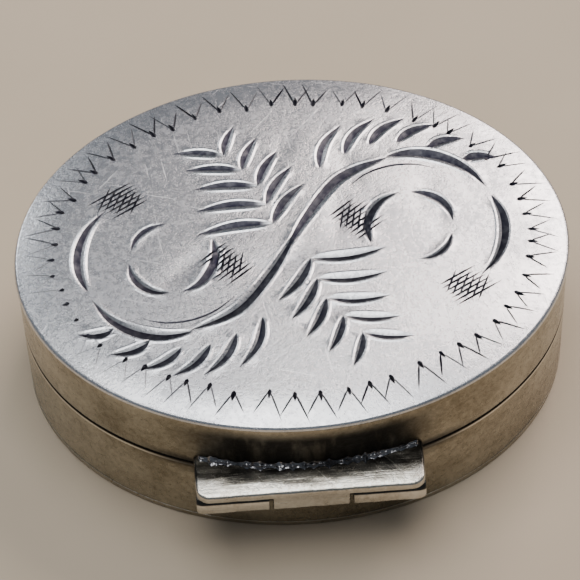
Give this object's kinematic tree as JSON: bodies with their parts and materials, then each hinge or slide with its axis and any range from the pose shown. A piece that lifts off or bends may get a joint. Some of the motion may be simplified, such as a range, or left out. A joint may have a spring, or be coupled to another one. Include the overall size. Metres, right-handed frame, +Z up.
{
  "type": "hinged pill box",
  "caption": "Small oval hinged pill box: straight-sided base, domed engraved lid, knuckle hinge along one long side, inner closing rim.",
  "frame": {"origin": "middle of the flat underside of the floor, where the oval's two axes cross", "axes": "+X along the oval's long axis and the hinge pin, +Y from the hinge towards the thumb piece, +Z up out of the closed lid"},
  "size_m": [0.0382, 0.0334, 0.0126],
  "materials": {
    "engraved_silver": "hand-engraved polished silver, softly worn, grey patina in the cuts",
    "wall_silver": "handled silver with fine scratches and a warm tarnish",
    "inner_silver": "satin silver, lightly tarnished",
    "hinge_silver": "filed and worn silver with scratches along its length",
    "pin_wire": "drawn wire, dull",
    "silver_solder": "uneven solder, dark with oxide"
  },
  "bodies": {
    "base": {"base_floor": "inner_silver", "base_band": "wall_silver", "base_bezel": "inner_silver", "base_knuckle_left": "hinge_silver", "base_knuckle_right": "hinge_silver", "base_solder_left": "silver_solder", "base_solder_right": "silver_solder", "hinge_pin": "pin_wire"},
    "lid": {"lid_plate": "engraved_silver", "lid_band": "wall_silver", "lid_hinge_leaf": "hinge_silver", "lid_knuckle": "hinge_silver", "lid_leaf_solder": "silver_solder", "thumb_piece": "hinge_silver"}
  },
  "joints": [
    {"name": "lid_hinge", "type": "hinge", "parent": "base", "child": "lid", "pos_m": [0, -0.0163, 0.00606], "axis": [1, 0, 0], "range_deg": [0, 95]}
  ]
}
